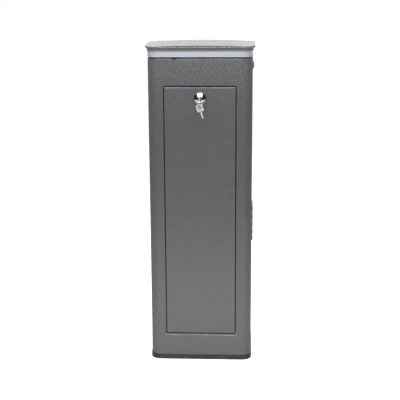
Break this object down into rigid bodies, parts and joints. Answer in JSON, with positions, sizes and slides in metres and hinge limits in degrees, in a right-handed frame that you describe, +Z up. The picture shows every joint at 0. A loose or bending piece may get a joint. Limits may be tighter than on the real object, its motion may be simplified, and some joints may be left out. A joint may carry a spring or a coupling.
{
  "type": "boom barrier gate drive cabinet",
  "caption": "Boom barrier drive cabinet with a lift-off lockable door, crowned lid over a light band, and a spring-balanced lever drive that turns the boom plate",
  "frame": {"origin": "on the floor, at the centre of the four anchor holes", "axes": "+Z up, -Y the side with the door, +Y the side with the boom plate, +X the side that the boom comes down to"},
  "size_m": [0.3336, 0.3692, 1.01],
  "materials": {
    "housing_paint": "textured",
    "plinth_paint": "satin",
    "lid_paint": "textured",
    "diffuser": "translucent matt",
    "led_board": "gloss",
    "rubber": "matt",
    "chrome": "polished",
    "nickel": "satin",
    "zinc_steel": "zinc plated",
    "galvanised": "galvanised",
    "ground_steel": "ground",
    "cast_iron": "painted cast",
    "gear_paint": "satin",
    "motor_paint": "satin",
    "spring_steel": "oiled",
    "rope_steel": "stranded",
    "sensor_brass": "nickel plated",
    "black_plastic": "matt",
    "grey_plastic": "matt",
    "box_grey": "matt",
    "boom_paint": "satin"
  },
  "bodies": {
    "cabinet": {"plinth": "plinth_paint", "base_plate": "galvanised", "housing": "housing_paint", "base_screws": "zinc_steel", "light_frame": "plinth_paint", "light_band": "diffuser", "led_boards": "led_board", "lid": "lid_paint", "frame_nuts": "zinc_steel", "door_seal": "rubber", "entry_plug": "black_plastic", "corner_plug": "black_plastic", "uprights": "galvanised", "front_plate": "zinc_steel", "rear_plate": "zinc_steel", "pillars": "ground_steel", "frame_screws": "zinc_steel", "bearings": "cast_iron", "bearing_bolts": "zinc_steel", "gearbox": "gear_paint", "gearbox_bolts": "zinc_steel", "motor": "motor_paint", "anchor_bar": "galvanised", "eyebolts": "zinc_steel", "stop_pads": "rubber", "stop_posts": "ground_steel", "sensor_brackets": "galvanised", "sensors": "sensor_brass", "control_tray": "galvanised", "control_box": "box_grey", "box_cover": "box_grey", "cable_glands": "black_plastic", "terminal_rail": "zinc_steel", "terminals": "grey_plastic", "breaker": "grey_plastic"},
    "boom_shaft": {"main_shaft": "ground_steel", "rocker": "cast_iron", "sheave": "zinc_steel", "limit_cam": "black_plastic", "boom_hub": "cast_iron", "boom_plate": "boom_paint", "hub_bolts": "zinc_steel"},
    "output_crank": {"output_shaft": "ground_steel", "crank": "cast_iron"},
    "linkage": {"tie_rod": "zinc_steel", "rod_ends": "ground_steel", "rod_nuts": "zinc_steel"},
    "spring_carrier": {"rope": "rope_steel", "spring_yoke": "zinc_steel", "balance_springs": "spring_steel"},
    "door": {"door_panel": "housing_paint", "door_stiffener": "galvanised", "lock_barrel": "chrome", "lock_nut": "nickel"},
    "lock_cylinder": {"lock_plug": "nickel", "lock_cam": "zinc_steel"},
    "lock_key": {"key": "nickel"},
    "ring": {"key_ring": "nickel"},
    "second_key": {"spare_key": "nickel"},
    "toggle": {"breaker_toggle": "black_plastic"}
  },
  "joints": [
    {"name": "boom_turn", "type": "hinge", "parent": "cabinet", "child": "boom_shaft", "pos_m": [0, 0.06, 0.84], "axis": [0, 1, 0], "range_deg": [0, 90]},
    {"name": "crank_turn", "type": "hinge", "parent": "cabinet", "child": "output_crank", "pos_m": [0, 0.06, 0.68], "axis": [0, 1, 0], "range_deg": [0, 90]},
    {"name": "rod_swing", "type": "hinge", "parent": "boom_shaft", "child": "linkage", "pos_m": [0.0495, 0.077, 0.8895], "axis": [0, 1, 0], "range_deg": [-90, 0]},
    {"name": "spring_travel", "type": "slide", "parent": "cabinet", "child": "spring_carrier", "axis": [0, 0, 1], "range_m": [0, 0.0943], "deforming": ["balance_springs", "rope"]},
    {"name": "door_tilt", "type": "hinge", "parent": "cabinet", "child": "door", "pos_m": [0, -0.131, 0.091], "axis": [1, 0, 0], "range_deg": [0, 12]},
    {"name": "lock_turn", "type": "hinge", "parent": "door", "child": "lock_cylinder", "pos_m": [0, -0.14, 0.843], "axis": [0, 1, 0], "range_deg": [0, 90]},
    {"name": "key_slide", "type": "slide", "parent": "lock_cylinder", "child": "lock_key", "axis": [0, -1, 0], "range_m": [0, 0.023]},
    {"name": "ring_swing", "type": "hinge", "parent": "lock_key", "child": "ring", "pos_m": [0, -0.171, 0.841], "axis": [0.7071, 0.7071, 0], "range_deg": [-12, 12]},
    {"name": "second_key_swing", "type": "hinge", "parent": "ring", "child": "second_key", "pos_m": [0, -0.171, 0.823], "axis": [0, 1, 0], "range_deg": [-12, 20]},
    {"name": "toggle_throw", "type": "hinge", "parent": "cabinet", "child": "toggle", "pos_m": [-0.062, -0.1095, 0.226], "axis": [1, 0, 0], "range_deg": [0, 60]}
  ],
  "couplings": [
    {"joint": "crank_turn", "follows": "boom_turn", "ratio": 1},
    {"joint": "rod_swing", "follows": "boom_turn", "ratio": -1},
    {"joint": "spring_travel", "follows": "boom_turn", "m_per_rad": 0.06}
  ]
}
